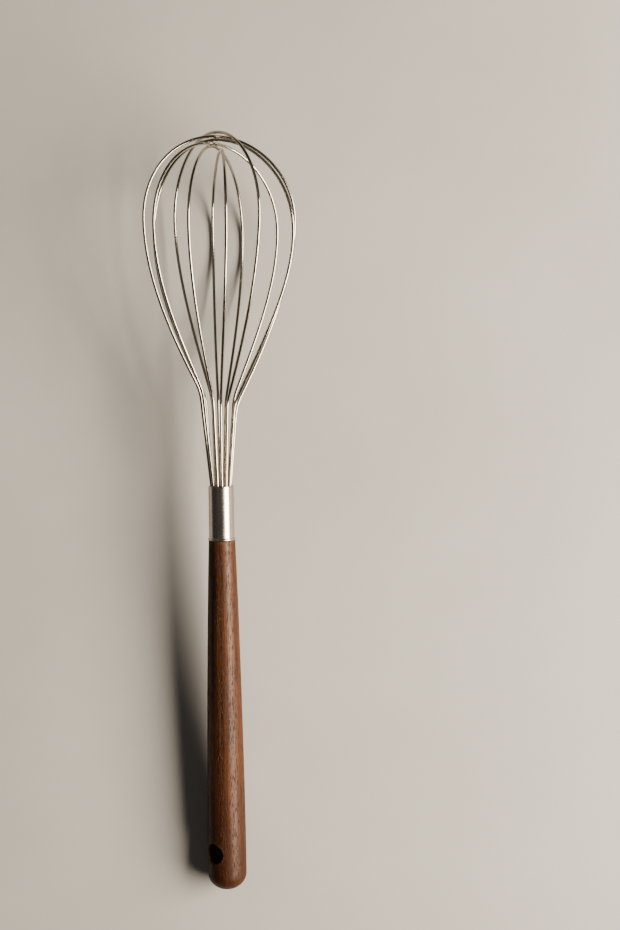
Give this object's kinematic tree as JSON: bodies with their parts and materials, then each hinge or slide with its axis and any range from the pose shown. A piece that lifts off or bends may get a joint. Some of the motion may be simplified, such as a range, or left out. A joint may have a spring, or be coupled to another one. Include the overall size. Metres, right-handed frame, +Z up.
{
  "type": "balloon whisk",
  "caption": "Balloon whisk: bent steel wire loops in a tapered ferrule on a turned dark wooden handle with a hanging hole, for beating and folding batter and cream.",
  "frame": {"origin": "on the table under the middle of the whole whisk, which lies at rest on its handle end and its two lowest wires", "axes": "+Z up from the table, +Y along the whisk from the handle end to the tip of the balloon, +X to the right when seen from above with the tip away from the viewer"},
  "size_m": [0.0588, 0.2988, 0.0611],
  "materials": {
    "walnut": "satin oiled",
    "ferrule_steel": "satin brushed",
    "wire_steel": "polished",
    "plug_steel": "matt machined",
    "resin": "cast resin"
  },
  "bodies": {
    "root": {"handle": "walnut", "ferrule": "ferrule_steel", "wire_loop_1": "wire_steel", "wire_loop_2": "wire_steel", "wire_loop_3": "wire_steel", "wire_loop_4": "wire_steel", "wire_loop_5": "wire_steel", "wire_loop_6": "wire_steel", "spacer_plug": "plug_steel", "binding_band": "plug_steel", "potting_resin": "resin"}
  },
  "joints": []
}
